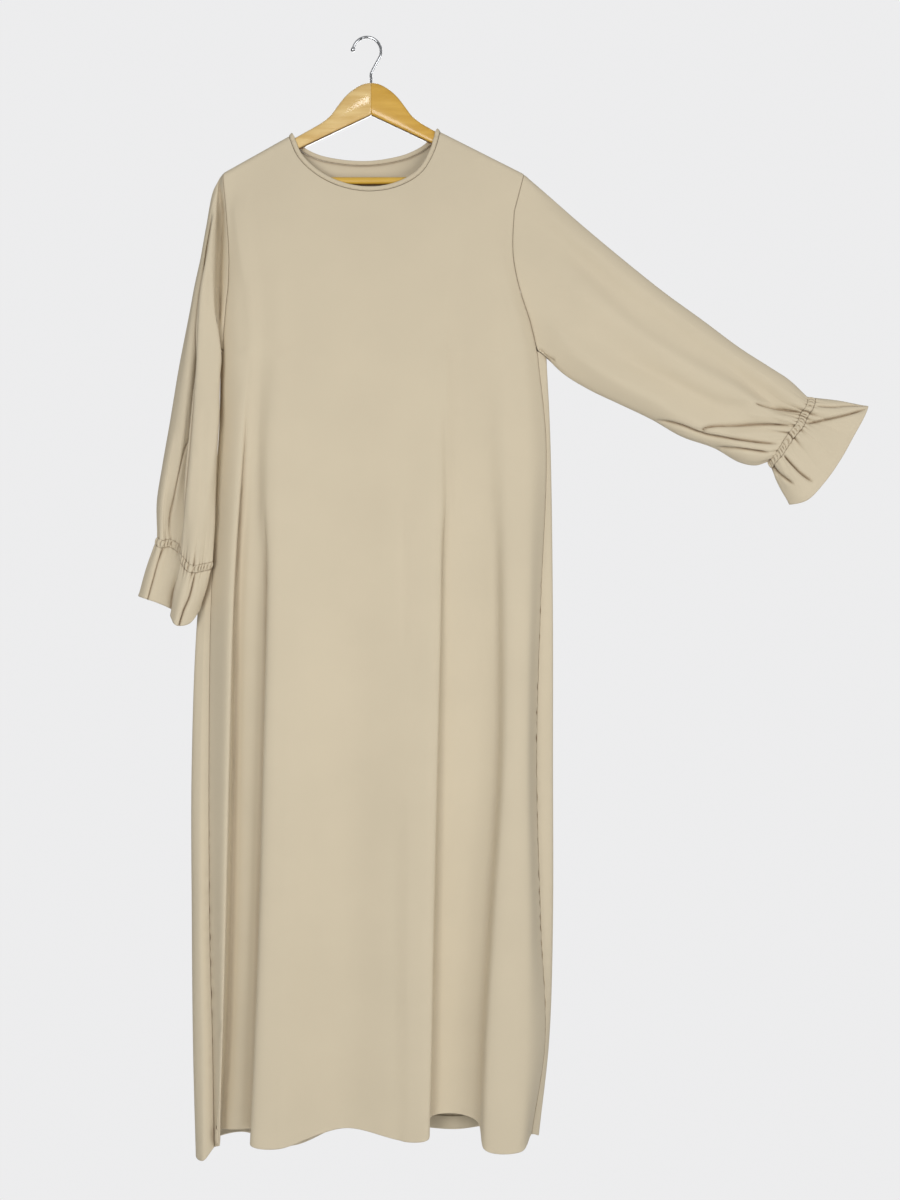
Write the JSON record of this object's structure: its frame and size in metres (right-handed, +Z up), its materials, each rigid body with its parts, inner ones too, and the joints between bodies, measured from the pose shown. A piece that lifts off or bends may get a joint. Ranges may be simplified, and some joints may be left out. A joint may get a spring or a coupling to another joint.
{
  "type": "abaya on a wooden hanger",
  "caption": "Long plain abaya with set-in sleeves gathered into frilled cuffs, hanging on a shaped wooden hanger with a bar and a wire hook.",
  "frame": {"origin": "the inner top of the hook's crown, where it bears on a rail", "axes": "+Z up, +X to the right as seen from the front, the front of the garment faces -Y"},
  "size_m": [1.0418, 0.1137, 1.5946],
  "materials": {
    "front": "matte crepe",
    "back": "matte crepe",
    "neck_binding": "matte crepe",
    "sleeve_hanging": "matte crepe",
    "gather_hanging": "matte crepe",
    "frill_hanging": "matte crepe",
    "sleeve_held": "matte crepe",
    "gather_held": "matte crepe",
    "frill_held": "matte crepe",
    "hanger_arm_left": "clear gloss varnish",
    "hanger_arm_right": "clear gloss varnish",
    "hanger_bar": "clear gloss varnish",
    "hanger_hook": "polished"
  },
  "bodies": {
    "root": {"front": "front", "back": "back", "neck_binding": "neck_binding", "sleeve_hanging": "sleeve_hanging", "gather_hanging": "gather_hanging", "frill_hanging": "frill_hanging", "sleeve_held": "sleeve_held", "gather_held": "gather_held", "frill_held": "frill_held", "hanger_arm_left": "hanger_arm_left", "hanger_arm_right": "hanger_arm_right", "hanger_bar": "hanger_bar", "hanger_hook": "hanger_hook"}
  },
  "joints": []
}
